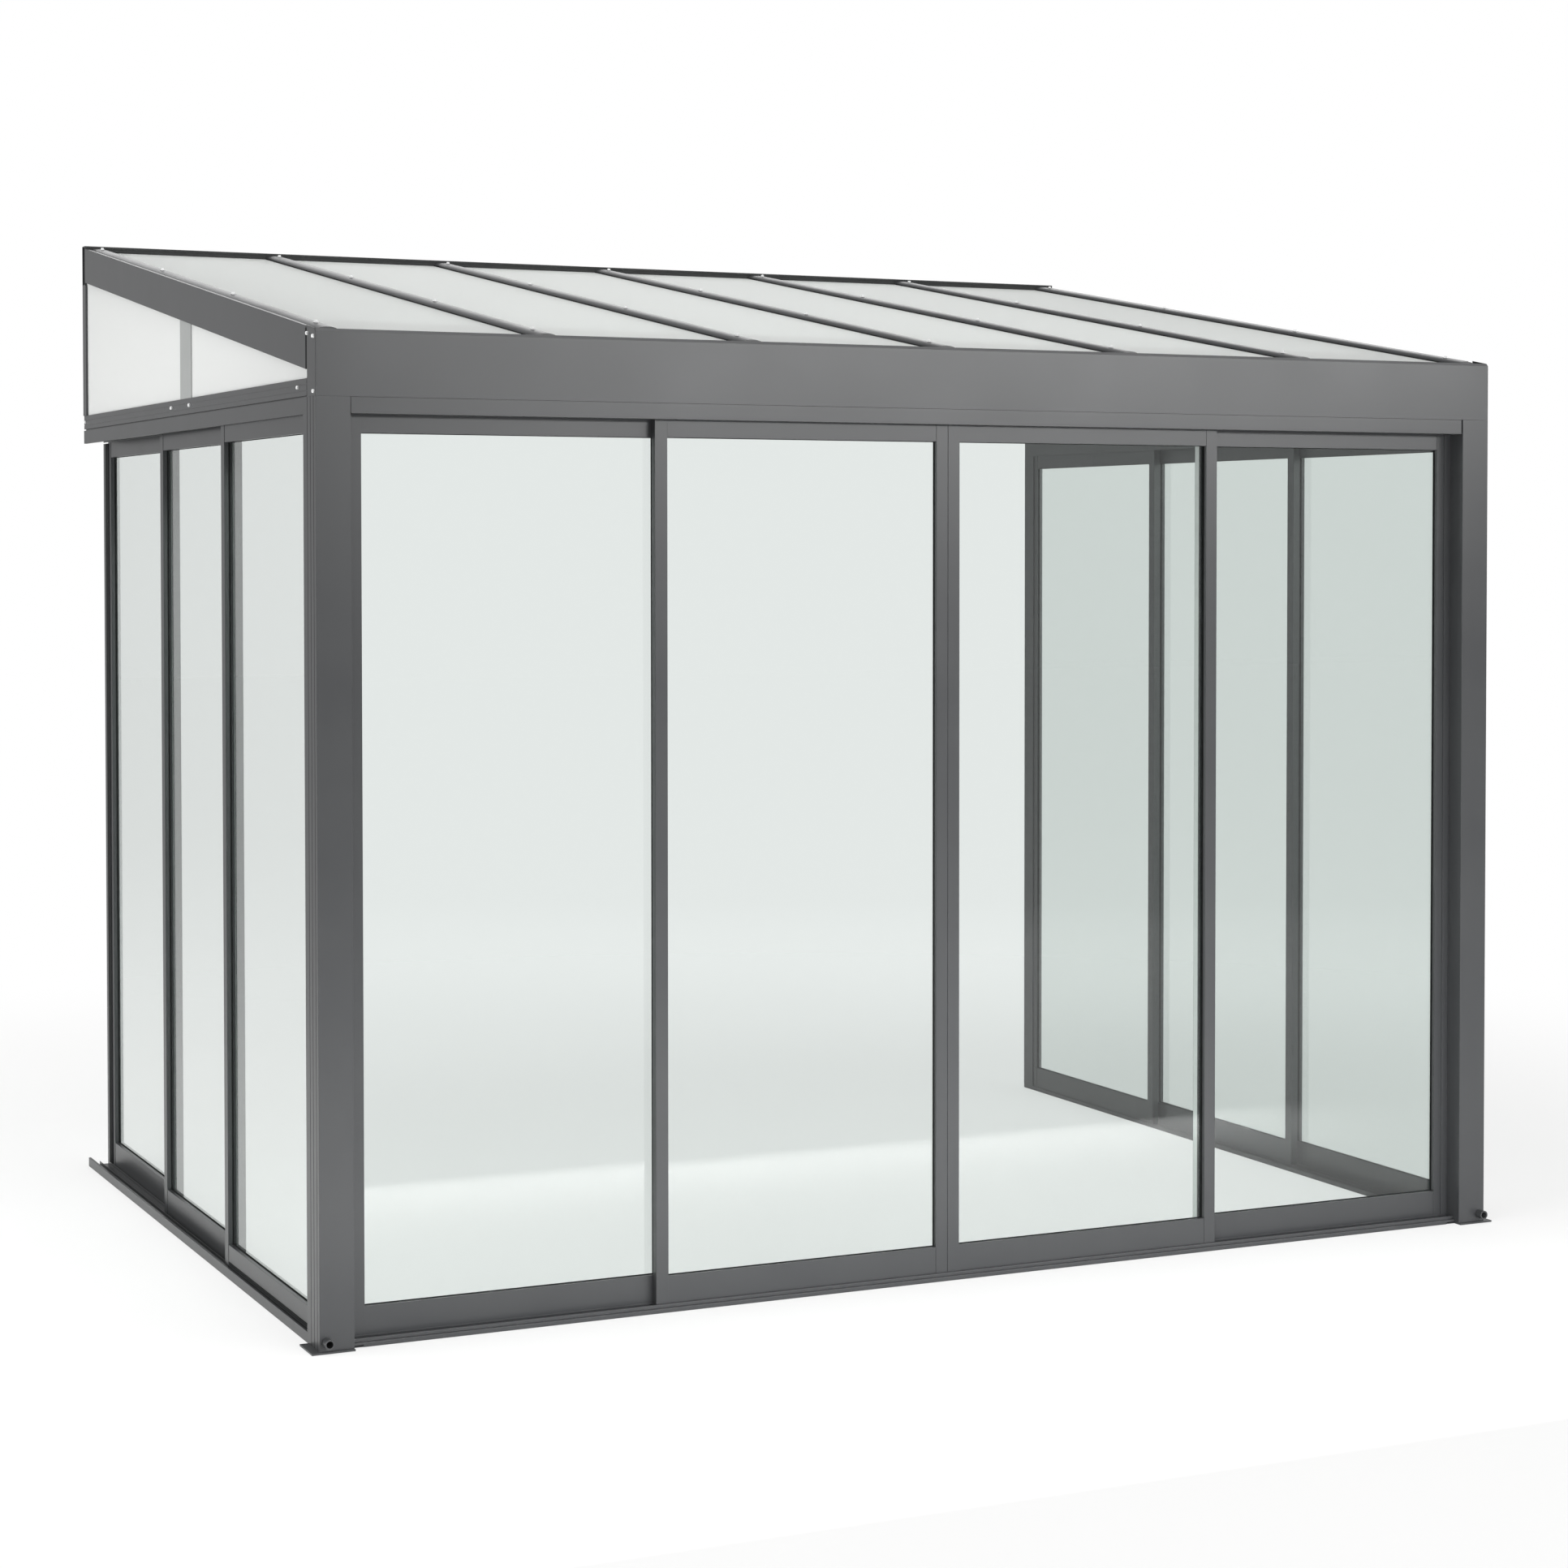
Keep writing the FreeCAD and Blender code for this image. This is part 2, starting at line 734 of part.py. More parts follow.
def side_screws():
    out = vec(-1, 0, 0)
    ys = [post_d + header_screw_front, header_mid - header_screw_mid]
    ys += [header_mid + header_screw_mid, depth - header_screw_back]
    heads = [screw(vec(-side_out + header_in, y, eave_z + header_screw_z), out) for y in ys]
    back = gutter_d - cap_screw_in
    spots = [(cap_screw_in, eave_z + cap_screw_low)]
    spots.append((cap_screw_in, gutter_top - cap_screw_high))
    spots.append((back, cap_line(back) - cap_screw_high))
    heads += [screw(vec(-half_w, y, z), out) for y, z in spots]
    return heads


save_pair("post", post())
save_pair("foot", foot())
save_both("drain_spouts", spout())
save("gutter_beam", gutter())
save_both("gutter_end_caps", gutter_cap())
save("wall_plate", wall_plate())

xs = rafter_xs()
save_pair("end_rafter", end_rafter(xs[0]))
save("inner_rafters", *[rafter(x) for x in xs[1:-1]])
save("rafter_cap_bars", *[cap_bar(x) for x in xs])
save("roof_sheets", *[roof_sheet(x0, x1) for x0, x1 in zip(xs[:-1], xs[1:])])
save_pair("gable_sheets", *gable_sheets())
save_both("gable_joiners", gable_joiner())
save_both("gable_channels", gable_channel())
save_pair("header", side_header())
save_pair("top_track", side_track())
save("front_top_track", front_track())
save_pair("sill", side_sill())
save("front_sill", front_sill())
save_pair("wall_jamb", wall_jamb())
save_pair("post_jambs", post_side_jamb(), post_front_jamb())

left_screws = side_screws()
save("screws", *roof_screws(), *left_screws, *[mirrored(head) for head in left_screws])

# Front doors: 1 and 4 in the inner channel, 2 and 3 in the outer one
outer_y = channel_centre(front_lip_y, front_fins, 0)
inner_y = channel_centre(front_lip_y, front_fins, 1)
end_leaf = leaf(front_door_w, 1, front_sight_low)
end_leaf = leaf_moved(end_leaf, 0, vec(-front_half, inner_y, 0))
mid_leaf = leaf(front_door_w, 1, front_sight_low, stile_w / 2, 1)
mid_leaf = leaf_moved(mid_leaf, 0, vec(-front_door_w - meet_gap, outer_y, 0))
end_twin = leaf_mirrored(end_leaf)
mid_twin = leaf_mirrored(mid_leaf)
save_leaf("front_door_1", end_leaf)
save_leaf("front_door_2", mid_leaf)
save_leaf("front_door_3", mid_twin)
save_leaf("front_door_4", end_twin)

# Side doors: the front one in the outermost channel, the one at the wall innermost
for index, place in enumerate(("front", "middle", "rear")):
    brush = -1 if index < 2 else 0
    y = side_start + index * (side_door_w - side_overlap)
    x = channel_centre(-side_out, side_fins, index)
    side_leaf = leaf(side_door_w, -1, side_sight_low, side_door_w - stile_w / 2, brush)
    side_leaf = leaf_moved(side_leaf, 1, vec(x, y, 0))
    side_twin = leaf_mirrored(side_leaf)
    save_leaf("left_door_" + place, side_leaf)
    save_leaf("right_door_" + place, side_twin)
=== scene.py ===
import bmesh
import bpy
import json
import math
from mathutils import Matrix, Vector


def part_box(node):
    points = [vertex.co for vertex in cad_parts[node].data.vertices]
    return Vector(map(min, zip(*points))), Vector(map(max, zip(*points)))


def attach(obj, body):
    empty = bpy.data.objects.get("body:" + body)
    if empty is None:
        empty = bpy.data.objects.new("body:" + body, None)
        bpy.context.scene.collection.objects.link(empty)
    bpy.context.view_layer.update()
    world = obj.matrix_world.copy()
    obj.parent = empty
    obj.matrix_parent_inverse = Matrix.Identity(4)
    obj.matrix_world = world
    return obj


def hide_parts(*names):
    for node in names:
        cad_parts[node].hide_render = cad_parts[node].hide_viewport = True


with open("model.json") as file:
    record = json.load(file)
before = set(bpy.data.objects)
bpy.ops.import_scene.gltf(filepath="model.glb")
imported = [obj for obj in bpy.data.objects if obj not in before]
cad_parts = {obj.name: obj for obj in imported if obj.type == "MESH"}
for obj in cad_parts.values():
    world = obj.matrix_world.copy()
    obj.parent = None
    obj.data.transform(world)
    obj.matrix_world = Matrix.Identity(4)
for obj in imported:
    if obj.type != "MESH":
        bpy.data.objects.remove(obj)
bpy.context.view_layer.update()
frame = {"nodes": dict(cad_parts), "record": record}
nodes = frame["nodes"]
subparts = frame["record"]["subparts"]
sides = {"left": -1, "right": 1}     # which way along X is outwards

# the drawing counts millimetres back from the front face of the posts
drawing = {
    "frontToOrigin": 1353.5,
    "depth": 2735.0,
    "eave": 2451.0,
    "gutterTop": 2623.0,
    "gutterDeep": 75.0,
    "wallPlate": 2697.0,
    "roofStart": 46.0,
    "roofEnd": 2695.0,
    "slope": 9.05,
    "rafterPitch": 594.5,
    "raftersPerSide": 3,
}
rise = math.tan(math.radians(drawing["slope"]))
rafterLines = [i * drawing["rafterPitch"]
               for i in range(-drawing["raftersPerSide"], drawing["raftersPerSide"] + 1)]


# sRGB hex to linear, as the shader sockets want it
def hexColour(code):
    parts = [int(code[i:i + 2], 16) / 255 for i in (1, 3, 5)]
    return [c / 12.92 if c < 0.04045 else ((c + 0.055) / 1.055) ** 2.4 for c in parts] + [1.0]


# adds one shader node: plain settings by name, socket values, and links from other sockets
def addNode(tree, kind, values=None, links=None, **settings):
    node = tree.nodes.new(kind)
    for name, value in settings.items():
        setattr(node, name, value)
    for socket, value in (values or {}).items():
        node.inputs[socket].default_value = value
    for socket, source in (links or {}).items():
        tree.links.new(source, node.inputs[socket])
    return node


def newMaterial(name):
    material = bpy.data.materials.new(name)
    material.use_nodes = True
    tree = material.node_tree
    tree.nodes.clear()
    place = addNode(tree, "ShaderNodeTexCoord").outputs["Object"]
    return material, tree, place


def showShader(tree, shader):
    addNode(tree, "ShaderNodeOutputMaterial", links={"Surface": shader.outputs[0]})


# noise scale whose grains measure about this many millimetres
def grain(mm):
    return 1000 / mm


# two close tones in soft clouds of this size: gives the clouds and the colour
def cloudedTone(tree, place, mm, detail, tones):
    cloud = addNode(tree, "ShaderNodeTexNoise", {"Scale": grain(mm), "Detail": detail}, {"Vector": place})
    tone = addNode(tree, "ShaderNodeMix", {6: hexColour(tones[0]), 7: hexColour(tones[1])},
                   {0: cloud.outputs[0]}, data_type="RGBA")
    return cloud.outputs[0], tone.outputs[2]


coat = {
    "tones": ("#37383a", "#3e3f40"),
    "cloudMm": 260,
    "roughness": (0.26, 0.34),
    "ior": 1.5,
    "gloss": 0.42,
    "barGloss": 0.14,        # the roof bars have a flatter coat
    "peelMm": 3,             # real orange peel is about 1 mm, drawn coarser so that it shows
    "peelDepth": 0.00004,
    "peelStrength": 0.35,
}


# polyester powder coat on extruded aluminium: satin, faint orange peel, soft broad highlights
def powderCoat(name, level):
    material, tree, place = newMaterial(name)
    cloud, tone = cloudedTone(tree, place, coat["cloudMm"], 4.0, coat["tones"])
    low, high = coat["roughness"]
    satin = addNode(tree, "ShaderNodeMapRange", {"To Min": low, "To Max": high}, {"Value": cloud})
    peel = addNode(tree, "ShaderNodeTexNoise", {"Scale": grain(coat["peelMm"]), "Detail": 2.0},
                   {"Vector": place})
    bump = addNode(tree, "ShaderNodeBump", {"Strength": coat["peelStrength"], "Distance": coat["peelDepth"]},
                   {"Height": peel.outputs[0]})
    skin = addNode(tree, "ShaderNodeBsdfPrincipled", {"IOR": coat["ior"], "Specular IOR Level": level},
                   {"Base Color": tone, "Roughness": satin.outputs[0], "Normal": bump.outputs[0]})
    showShader(tree, skin)
    return material


pane = {
    "tint": "#e5eae8",
    "lampTint": "#eff3f1",
    "ior": 1.5,
    "waveMm": 350,
    "waveDepth": 0.0002,
    "waveStrength": 0.1,
}


# clear float glass, 4 mm: faint green-grey body colour and a slow roller wave in its reflections
def floatGlass():
    material, tree, place = newMaterial("float_glass")
    wave = addNode(tree, "ShaderNodeTexNoise", {"Scale": grain(pane["waveMm"]), "Detail": 1.0},
                   {"Vector": place})
    bump = addNode(tree, "ShaderNodeBump", {"Strength": pane["waveStrength"], "Distance": pane["waveDepth"]},
                   {"Height": wave.outputs[0]})
    glass = addNode(tree, "ShaderNodeBsdfPrincipled",
                    {"Base Color": hexColour(pane["tint"]), "Roughness": 0.0, "IOR": pane["ior"],
                     "Transmission Weight": 1.0},
                    {"Normal": bump.outputs[0]})
    # lamps reach what is behind the pane
    clear = addNode(tree, "ShaderNodeBsdfTransparent", {"Color": hexColour(pane["lampTint"])})
    path = addNode(tree, "ShaderNodeLightPath")
    mixed = addNode(tree, "ShaderNodeMixShader", {},
                    {0: path.outputs["Is Shadow Ray"], 1: glass.outputs[0], 2: clear.outputs[0]})
    showShader(tree, mixed)
    return material


opal = {
    "skin": "#e6e7e6",
    "rib": "#dcdedd",
    "through": "#f4f5f4",
    "roofShare": 0.62,       # how much of the light goes through instead of back
    "gableShare": 0.3,
    "cloudMm": 420,
    "roughness": (0.45, 0.55),
    "ior": 1.58,
    "gloss": 0.3,
    "cellMm": 18.24,
    "firstMm": 5.8,          # the first web, from the rafter's line
    "ribMm": 3.0,            # webs are 0.8 mm, drawn wider so that they show
}


# opal polycarbonate, extruded: milky, a little glossy, lets light through without a view
def opalSheet(name, share, ribbed):
    material, tree, place = newMaterial(name)
    cloud = addNode(tree, "ShaderNodeTexNoise", {"Scale": grain(opal["cloudMm"]), "Detail": 2.0},
                    {"Vector": place})
    low, high = opal["roughness"]
    satin = addNode(tree, "ShaderNodeMapRange", {"To Min": low, "To Max": high},
                    {"Value": cloud.outputs[0]})
    skin = addNode(tree, "ShaderNodeBsdfPrincipled",
                   {"IOR": opal["ior"], "Specular IOR Level": opal["gloss"],
                    "Base Color": hexColour(opal["skin"])},
                   {"Roughness": satin.outputs[0]})
    if ribbed:
        # the webs of the twin wall show as fine lines down the slope, counted from each bay's edge
        across = addNode(tree, "ShaderNodeSeparateXYZ", {}, {0: place})
        bay = addNode(tree, "ShaderNodeMath", {1: drawing["rafterPitch"] / 1000}, {0: across.outputs["X"]},
                      operation="FLOORED_MODULO")
        cell = addNode(tree, "ShaderNodeMath", {1: -opal["firstMm"] / 1000}, {0: bay.outputs[0]},
                       operation="ADD")
        web = addNode(tree, "ShaderNodeMath", {1: opal["cellMm"] / 1000}, {0: cell.outputs[0]},
                      operation="FLOORED_MODULO")
        line = addNode(tree, "ShaderNodeMapRange",
                       {"From Min": 0.0, "From Max": opal["ribMm"] / 1000, "To Min": 1.0, "To Max": 0.0},
                       {"Value": web.outputs[0]}, interpolation_type="SMOOTHSTEP")
        tone = addNode(tree, "ShaderNodeMix", {6: hexColour(opal["skin"]), 7: hexColour(opal["rib"])},
                       {0: line.outputs[0]}, data_type="RGBA")
        tree.links.new(tone.outputs[2], skin.inputs["Base Color"])
    glow = addNode(tree, "ShaderNodeBsdfTranslucent", {"Color": hexColour(opal["through"])})
    mixed = addNode(tree, "ShaderNodeMixShader", {0: share}, {1: skin.outputs[0], 2: glow.outputs[0]})
    showShader(tree, mixed)
    return material


vinyl = {
    "grey": ("#929493", "#9d9f9e"),
    # pale tones for the strips that paint light on shaded door edges
    "pale": ("#d0d2d1", "#d9dbda"),
    "cloudMm": 60,
    "roughness": 0.48,
    "ior": 1.53,
}


# extruded rigid vinyl: slightly soft sheen
def rigidVinyl(name, tones):
    material, tree, place = newMaterial(name)
    tone = cloudedTone(tree, place, vinyl["cloudMm"], 3.0, tones)[1]
    skin = addNode(tree, "ShaderNodeBsdfPrincipled", {"Roughness": vinyl["roughness"], "IOR": vinyl["ior"]},
                   {"Base Color": tone})
    showShader(tree, skin)
    return material


rubber = {
    # black, for the real gaskets and for the strips that paint shade above the side sills, in the gutter's
    # end joints and at the bars' feet
    "black": ("#1d1e1e", "#2c2d2d"),
    # grey tones of the wall seal, dark enough to paint the shade on the wall plate's face
    "grey": ("#3c3d3d", "#464747"),
    "bloomMm": 35,
    "roughness": 0.9,
    "ior": 1.5,
    "gloss": 0.08,
}


# EPDM gasket rubber: matt, with a faint grey bloom
def gasketRubber(name, tones):
    material, tree, place = newMaterial(name)
    tone = cloudedTone(tree, place, rubber["bloomMm"], 4.0, tones)[1]
    skin = addNode(tree, "ShaderNodeBsdfPrincipled",
                   {"Roughness": rubber["roughness"], "IOR": rubber["ior"],
                    "Specular IOR Level": rubber["gloss"]},
                   {"Base Color": tone})
    showShader(tree, skin)
    return material


lacquer = {
    "tones": ("#f2f3f3", "#fafafa"),
    "speckMm": 6,
    "roughness": 0.3,
    "ior": 1.5,
}


# white lacquered steel screws: smooth and slightly glossy
def whiteLacquer():
    material, tree, place = newMaterial("white_lacquered_steel")
    tone = cloudedTone(tree, place, lacquer["speckMm"], 2.0, lacquer["tones"])[1]
    skin = addNode(tree, "ShaderNodeBsdfPrincipled",
                   {"Roughness": lacquer["roughness"], "IOR": lacquer["ior"]}, {"Base Color": tone})
    showShader(tree, skin)
    return material


finishes = {
    "coated_aluminium": powderCoat("powder_coated_aluminium", coat["gloss"]),
    "door_glass": floatGlass(),
    "opal_sheet": opalSheet("opal_twin_wall", opal["roofShare"], True),
    "grey_plastic": rigidVinyl("grey_vinyl", vinyl["grey"]),
    "seal_rubber": gasketRubber("epdm_rubber", rubber["black"]),
    "white_screws": whiteLacquer(),
}
opalPlain = opalSheet("opal_solid_sheet", opal["gableShare"], False)
flatCoat = powderCoat("flat_powder_coated_aluminium", coat["barGloss"])
# pale vinyl for the strips that paint light on shaded door edges
paintedLightVinyl = rigidVinyl("painted_light_vinyl", vinyl["pale"])
# grey rubber of the wall seal, which also paints the shade on the wall plate's face
greyShadeRubber = gasketRubber("grey_shade_epdm_rubber", rubber["grey"])
for piece in subparts:
    mesh = nodes[piece["node"]].data
    mesh.materials.clear()
    mesh.materials.append(finishes[piece["material_slot"]])
for side in sides:
    nodes[side + "_gable_sheets"].data.materials[0] = opalPlain
print("materials on all nodes")

softEdge = {
    "slots": ("coated_aluminium", "grey_plastic"),
    "weld": 0.00002,
    "flatAngle": 0.5,
    "width": 0.0006,
    "wide": {"drain_spouts": 0.0012, "front_sill": 0.0012, "left_sill": 0.0009, "right_sill": 0.0009},
    "segments": 2,
    "angle": 40,
}


def roundEdges(obj, width):
    bevel = obj.modifiers.new("edge", "BEVEL")
    bevel.width = width
    bevel.segments = softEdge["segments"]
    bevel.limit_method = "ANGLE"
    bevel.angle_limit = math.radians(softEdge["angle"])
    obj.modifiers.new("shade", "WEIGHTED_NORMAL")


# rounds the sharp edges of an extrusion a little, as the coat does
def softenEdges(obj, width):
    weld = obj.modifiers.new("weld", "WELD")
    weld.merge_threshold = softEdge["weld"]
    flat = obj.modifiers.new("flat", "DECIMATE")
    flat.decimate_type = "DISSOLVE"
    flat.angle_limit = math.radians(softEdge["flatAngle"])
    roundEdges(obj, width)


for piece in subparts:
    if piece["material_slot"] in softEdge["slots"]:
        softenEdges(nodes[piece["node"]], softEdge["wide"].get(piece["node"], softEdge["width"]))
print("edges softened")


# drawing millimetres to a place in the frame
def spot(x, y, z):
    return Vector((x, y - drawing["frontToOrigin"], z)) / 1000


# height of the cap bars' crown
def capLine(y):
    return drawing["gutterTop"] + y * rise


# a closed outline in one plane, pulled along a straight run
def pullOutline(bm, points, run):
    face = bm.faces.new([bm.verts.new(point) for point in points])
    pulled = bmesh.ops.extrude_face_region(bm, geom=[face])
    ends = [item for item in pulled["geom"] if isinstance(item, bmesh.types.BMVert)]
    bmesh.ops.translate(bm, verts=ends, vec=run)


# points are (across, up) from the cap bars' crown over the line x
def pullAlongRoof(bm, x, outline, start, end):
    points = [spot(x + across, start, capLine(start) + up) for across, up in outline]
    length = (end - start) / 1000
    pullOutline(bm, points, Vector((0, length, length * rise)))


def finishPiece(name, bm, body, slot, finish=None, replaced=()):
    bmesh.ops.recalc_face_normals(bm, faces=bm.faces)
    mesh = bpy.data.meshes.new(name)
    bm.to_mesh(mesh)
    bm.free()
    mesh.materials.append(finish or finishes[slot])
    obj = bpy.data.objects.new(name, mesh)
    bpy.context.scene.collection.objects.link(obj)
    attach(obj, body)
    if replaced:
        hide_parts(*replaced)
    return obj


def shadeSmooth(obj):
    for face in obj.data.polygons:
        face.use_smooth = True


def mirrorOutline(half):
    return half + [(-across, up) for across, up in reversed(half)]


capBar = {
    "half": 31.0,
    "high": 14.0,
    "foot": 3.0,
    "wall": 2.5,
    "steps": 9,
    "edge": 0.0005,
    "plate": 2.0,
    "seal": [(31.1, -14), (32.2, -14), (32.2, -12), (31.1, -10.8)],
}


# half of an arched bar's line, foot to crown: a short upright foot, then a steep shoulder that flattens
def archLine(half, high):
    shoulder = capBar["foot"] - capBar["high"]
    points = [(half, -capBar["high"]), (half, shoulder)]
    for step in range(1, capBar["steps"]):
        turn = math.pi / 2 * step / capBar["steps"]
        points.append((half * math.cos(turn), shoulder + (high - capBar["foot"]) * math.sin(turn)))
    return points


def makeCapBars():
    start, end = drawing["roofStart"], drawing["roofEnd"]
    outer = mirrorOutline(archLine(capBar["half"], capBar["high"]))
    inner = mirrorOutline(archLine(capBar["half"] - capBar["wall"], capBar["high"] - capBar["wall"]))
    bm = bmesh.new()
    for x in rafterLines:
        pullAlongRoof(bm, x, outer + inner[::-1], start, end)
    bars = finishPiece("cap_bars", bm, "frame", "coated_aluminium", flatCoat, ["rafter_cap_bars"])
    shadeSmooth(bars)
    roundEdges(bars, capBar["edge"])
    # rubber glazing seals along the feet of the bars, whose black also paints the contact shadow at the bars'
    # feet
    bm = bmesh.new()
    for x in rafterLines:
        for out in sides.values():
            pullAlongRoof(bm, x, [(out * across, up) for across, up in capBar["seal"]], start, end)
    finishPiece("cap_shade_seals", bm, "frame", "seal_rubber")
    # a plate shuts the open front end of each bar
    bm = bmesh.new()
    for x in rafterLines:
        pullAlongRoof(bm, x, outer, start - capBar["plate"], start)
    plates = finishPiece("cap_end_plates", bm, "frame", "coated_aluminium")
    roundEdges(plates, capBar["edge"])


roofPanel = {
    "edgeGap": 5.0,
    "top": -14.0,
    "thick": 6.0,
    "barGap": 33.0,          # the closing strips end this far from the bars' middle
    "closerWall": 1.2,
    "closerDeep": 22.0,
    "closerEdge": 0.0003,
}


def makeRoofPanels():
    def slab(reach, floor, roof):
        return [(-reach, floor), (reach, floor), (reach, roof), (-reach, roof)]

    top = roofPanel["top"]
    low = top - roofPanel["thick"]
    half = drawing["rafterPitch"] / 2
    bays = [x + half for x in rafterLines[:-1]]
    bm = bmesh.new()
    for x in bays:
        pullAlongRoof(bm, x, slab(half - roofPanel["edgeGap"], low, top),
                      drawing["roofStart"], drawing["roofEnd"])
    finishPiece("roof_panels", bm, "frame", "opal_sheet", replaced=["roof_sheets"])
    # U strip over the open cells at the front edge of each sheet, between the cap bars
    wall = roofPanel["closerWall"]
    reach = half - roofPanel["barGap"]
    start = drawing["roofStart"] - wall
    end = start + roofPanel["closerDeep"]
    bm = bmesh.new()
    for x in bays:
        pullAlongRoof(bm, x, slab(reach, low - wall, top + wall), start, start + wall)
        pullAlongRoof(bm, x, slab(reach, top, top + wall), start, end)
        pullAlongRoof(bm, x, slab(reach, low - wall, low), start, end)
    closers = finishPiece("sheet_closers", bm, "frame", "coated_aluminium")
    roundEdges(closers, roofPanel["closerEdge"])


screwHead = {
    # half of a head's section from the axis out: drive socket and dome, and the washer of a roof screw
    "dome": [(0, 4.2), (2.2, 4.2), (2.4, 6.2), (3.4, 6.2), (4.4, 5.6), (5, 4.4)],
    "washer": [(5, 1.2), (6.5, 1.2), (7, 0.8), (7, 0), (0, 0)],
    "plain": [(5, 0), (0, 0)],
    "steps": 20,
    "weld": 0.00001,
    # roof screws on each bar, between these distances from the front and the back
    "perBar": 4,
    "barFront": 153.0,
    "barBack": 99.0,
    # header screws: at its ends, and each side of the gable sheets' joint
    "headerFace": 1825.0,
    "headerUp": 28.0,
    "headerFront": 172.0,
    "headerBack": 20.0,
    "gableStart": 105.0,
    "jointReach": 108.0,
    # end cap screws: two near the front edge and one near the back
    "capFace": 1830.0,
    "capFront": 11.0,
    "capBack": 64.0,
    "capLow": 12.0,
    "capDrop": 20.0,
}


# the half section is spun about the screw's axis, which stands on its place
def addScrew(bm, place, direction, foot):
    stand = Matrix.Translation(place) @ direction.to_track_quat("Z", "Y").to_matrix().to_4x4()
    section = screwHead["dome"] + screwHead[foot]
    line = [bm.verts.new(stand @ (Vector((radius, 0, up)) / 1000)) for radius, up in section]
    edges = [bm.edges.new(pair) for pair in zip(line, line[1:])]
    bmesh.ops.spin(bm, geom=line + edges, cent=place, axis=direction, angle=math.tau,
                   steps=screwHead["steps"], use_merge=True)


def makeScrews():
    bm = bmesh.new()
    depth, eave, gutterTop = drawing["depth"], drawing["eave"], drawing["gutterTop"]
    tilt = math.atan(rise)
    upright = Vector((0, -math.sin(tilt), math.cos(tilt)))
    first, last = screwHead["barFront"], depth - screwHead["barBack"]
    for x in rafterLines:
        for index in range(screwHead["perBar"]):
            y = first + index * (last - first) / (screwHead["perBar"] - 1)
            addScrew(bm, spot(x, y, capLine(y)), upright, "washer")
    joint = (screwHead["gableStart"] + depth) / 2
    headerRow = (screwHead["headerFront"], joint - screwHead["jointReach"],
                 joint + screwHead["jointReach"], depth - screwHead["headerBack"])
    front, back, drop = screwHead["capFront"], screwHead["capBack"], screwHead["capDrop"]
    capPlaces = ((front, eave + screwHead["capLow"]), (front, gutterTop - drop), (back, capLine(back) - drop))
    for side in sides.values():
        out = Vector((side, 0, 0))
        for y in headerRow:
            addScrew(bm, spot(side * screwHead["headerFace"], y, eave + screwHead["headerUp"]), out, "plain")
        for y, z in capPlaces:
            addScrew(bm, spot(side * screwHead["capFace"], y, z), out, "plain")
    bmesh.ops.remove_doubles(bm, verts=bm.verts, dist=screwHead["weld"])
    heads = finishPiece("screw_heads", bm, "frame", "white_screws", replaced=["screws"])
    shadeSmooth(heads)
    heads.modifiers.new("shade", "WEIGHTED_NORMAL")


seal = {
    # section of the wall seal, back and up from the wall plate's face and the sheets: two lips and a valley;
    # its dark grey also paints the shade on the wall plate's face
    "wallSection": [(0, 0), (0, 18.5), (-0.8, 18.5), (-2, 17), (-2, 11.5), (-1, 10), (-2, 8.5), (-2, 0)],
    "wallReach": 1826.0,
    "cornerInner": 1812.0,
    "cornerOuter": 1828.5,
    "cornerBack": 95.0,
    "cornerLow": 2523.0,
    "cornerTop": 2629.0,
    "cornerGap": 0.3,
    "edge": 0.0003,
}


def makeSeals():
    bm = bmesh.new()
    reach = seal["wallReach"]
    face = drawing["wallPlate"]
    foot = capLine(face) + roofPanel["top"]
    points = [spot(-reach, face + back, foot + up) for back, up in seal["wallSection"]]
    pullOutline(bm, points, Vector((2 * reach / 1000, 0, 0)))
    wall = finishPiece("wall_seal_and_shade", bm, "frame", "seal_rubber", greyShadeRubber)
    roundEdges(wall, seal["edge"])
    # upright black rubber strips shut the joints between the gutter's ends and the end rafters; their black
    # also paints the shade that falls in those joints
    bm = bmesh.new()
    front = drawing["gutterDeep"] + seal["cornerGap"]
    back = seal["cornerBack"] - seal["cornerGap"]
    low, top = seal["cornerLow"], seal["cornerTop"]
    inner, outer = seal["cornerInner"], seal["cornerOuter"]
    for side in sides.values():
        points = [spot(side * inner, y, z) for y, z in ((front, low), (back, low), (back, top), (front, top))]
        pullOutline(bm, points, Vector((side * (outer - inner) / 1000, 0, 0)))
    corner = finishPiece("corner_shade_seals", bm, "frame", "seal_rubber")
    roundEdges(corner, seal["edge"])


# X of a box's face on the side that out points to
def faceX(corners, out):
    return corners[0 if out < 0 else 1][0]


# black rubber strip that is painted shade above the side sills' noses
shadeStrip = {
    # section out and up from the low rail's face, above the sill's nose
    "section": [(0, 31), (0, 41), (0.5, 41), (0.9, 39.5), (0.9, 34), (0.4, 31)],
    "railSet": 1.0,          # the rail's face lies this far behind the stiles'
    "stile": 36.0,
    "edge": 0.0002,
}


# a black rubber strip along the low rail of each outermost side door paints the shade that falls in the gap
# above the sill's nose
def makeRailShadeStrips():
    for side, out in sides.items():
        door = side + "_door_front"
        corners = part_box(door + "_frame")
        face = faceX(corners, out) - out * shadeStrip["railSet"] / 1000
        stile = shadeStrip["stile"] / 1000
        start, end = corners[0][1] + stile, corners[1][1] - stile
        points = [Vector((face + out * proud / 1000, start, up / 1000)) for proud, up in shadeStrip["section"]]
        bm = bmesh.new()
        pullOutline(bm, points, Vector((0, end - start, 0)))
        strip = finishPiece(door + "_shade_strip", bm, door, "seal_rubber")
        roundEdges(strip, shadeStrip["edge"])


jambSeal = {
    # section out from the jamb's face and back from its open edge, thinner than the doors' clearance
    "section": [(0, 0), (0, 40), (0.3, 40), (0.6, 37), (0.6, 3), (0.3, 0)],
    "edge": 0.0001,
}


